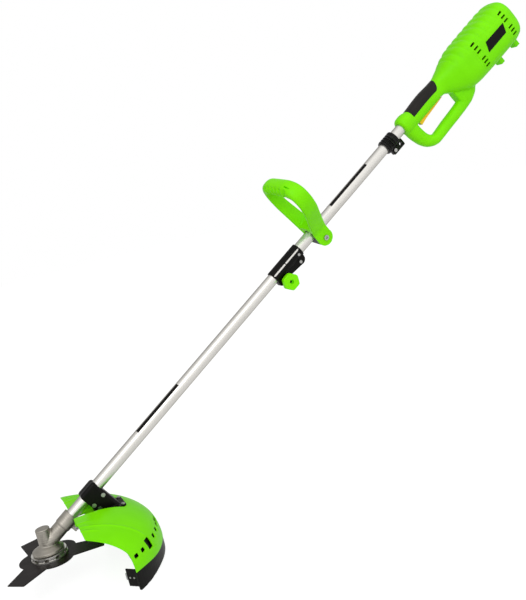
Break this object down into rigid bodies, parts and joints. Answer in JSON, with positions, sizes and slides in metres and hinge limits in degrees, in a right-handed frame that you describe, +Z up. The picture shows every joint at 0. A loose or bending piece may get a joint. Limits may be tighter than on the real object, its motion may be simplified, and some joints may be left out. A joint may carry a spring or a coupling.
{
  "type": "string trimmer",
  "caption": "Shaft trimmer with a three-armed blade under a green guard, a clamped split tube, a loop front handle and a rear trigger grip moulded in one with its motor housing.",
  "frame": {"origin": "free lower tip of the cutting spindle, on its axis", "axes": "+Z up along the spindle, +X back towards the user in the shaft's plane, +Y to the user's right"},
  "size_m": [1.4859, 0.392, 0.9573],
  "materials": {
    "green_plastic": "lime green, satin moulded",
    "black_plastic": "black, satin moulded",
    "black_rubber": "black, matt soft grip",
    "amber_plastic": "amber yellow, satin",
    "tube_aluminium": "drawn, satin",
    "cast_grey": "die cast, grey",
    "blade_steel": "dark, heat blackened",
    "zinc_steel": "zinc plated",
    "copper": "enamelled copper"
  },
  "bodies": {
    "upper": {"upper_tube": "tube_aluminium", "upper_shaft_bushes": "black_plastic", "coupler_left": "black_plastic", "coupler_right": "black_plastic", "coupler_screw": "zinc_steel", "clamp_nut": "zinc_steel", "strap_collar": "black_plastic", "collar_screw": "zinc_steel", "housing_left": "green_plastic", "housing_right": "green_plastic", "housing_screws": "zinc_steel", "grip_inlay": "black_rubber", "trigger_pin": "zinc_steel", "trigger_spring": "zinc_steel", "power_switch": "black_plastic", "stator": "zinc_steel", "field_coils": "copper", "brushes": "zinc_steel", "brush_holders": "black_plastic", "motor_bearing_outers": "zinc_steel", "cord_gland": "black_rubber"},
    "lower": {"gear_case": "cast_grey", "gear_case_cap": "cast_grey", "neck_screw": "zinc_steel", "head_bearing_outers": "zinc_steel", "bearing_circlip": "zinc_steel", "lower_tube": "tube_aluminium", "lower_shaft_bushes": "black_plastic", "bracket_left": "black_plastic", "bracket_right": "black_plastic", "bracket_screws": "zinc_steel", "guard": "green_plastic", "guard_skirt": "black_plastic", "line_knife": "zinc_steel", "guard_screws": "zinc_steel"},
    "cutter": {"spindle": "zinc_steel", "bevel_wheel": "zinc_steel", "spindle_bearing_inners": "zinc_steel", "blade_adapter": "cast_grey", "blade": "blade_steel", "blade_washer": "zinc_steel", "blade_nut": "zinc_steel"},
    "lower_drive": {"bevel_pinion": "zinc_steel", "pinion_bearing_inner": "zinc_steel", "lower_drive_rod": "zinc_steel"},
    "motor": {"upper_drive_rod": "zinc_steel", "drive_sleeve": "zinc_steel", "armature": "zinc_steel", "armature_windings": "copper", "commutator": "copper", "cooling_fan": "black_plastic", "motor_bearing_inners": "zinc_steel"},
    "knob": {"clamp_knob": "green_plastic", "clamp_bolt": "zinc_steel"},
    "liner": {"handle_liner": "black_rubber"},
    "loop": {"loop_handle": "green_plastic", "handle_clamp_block": "black_plastic", "handle_bolt": "zinc_steel", "handle_nut": "zinc_steel"},
    "trigger": {"trigger": "amber_plastic"}
  },
  "joints": [
    {"name": "tube_pull_out", "type": "slide", "parent": "upper", "child": "lower", "axis": [-0.848, 0, -0.5299], "range_m": [0, 0.08]},
    {"name": "cutter_spin", "type": "hinge", "parent": "lower", "child": "cutter", "pos_m": [0, 0, 0.052], "axis": [0, 0, 1], "continuous": true},
    {"name": "lower_drive_spin", "type": "hinge", "parent": "lower", "child": "lower_drive", "pos_m": [0.08481, 0, 0.10499], "axis": [0.848, 0, 0.5299], "continuous": true},
    {"name": "motor_spin", "type": "hinge", "parent": "upper", "child": "motor", "pos_m": [1.27207, 0, 0.84688], "axis": [0.848, 0, 0.5299], "continuous": true},
    {"name": "clamp_knob_turn", "type": "hinge", "parent": "upper", "child": "knob", "pos_m": [0.65734, 0, 0.42856], "axis": [0, 1, 0], "range_deg": [0, 540]},
    {"name": "front_handle_slide", "type": "slide", "parent": "upper", "child": "liner", "axis": [0.848, 0, 0.5299], "range_m": [-0.03, 0.2]},
    {"name": "front_handle_turn", "type": "hinge", "parent": "liner", "child": "loop", "pos_m": [0.75222, 0, 0.52204], "axis": [0.848, 0, 0.5299], "range_deg": [-20, 20]},
    {"name": "trigger_squeeze", "type": "hinge", "parent": "upper", "child": "trigger", "pos_m": [1.13659, 0, 0.741], "axis": [0, 1, 0], "range_deg": [0, 4.5], "stiffness_Nm_per_rad": 2, "springref_deg": -1.72, "deforming": ["trigger_spring"]}
  ],
  "couplings": [
    {"joint": "lower_drive_spin", "follows": "cutter_spin", "ratio": -1.3077},
    {"joint": "motor_spin", "follows": "cutter_spin", "ratio": -1.3077}
  ]
}
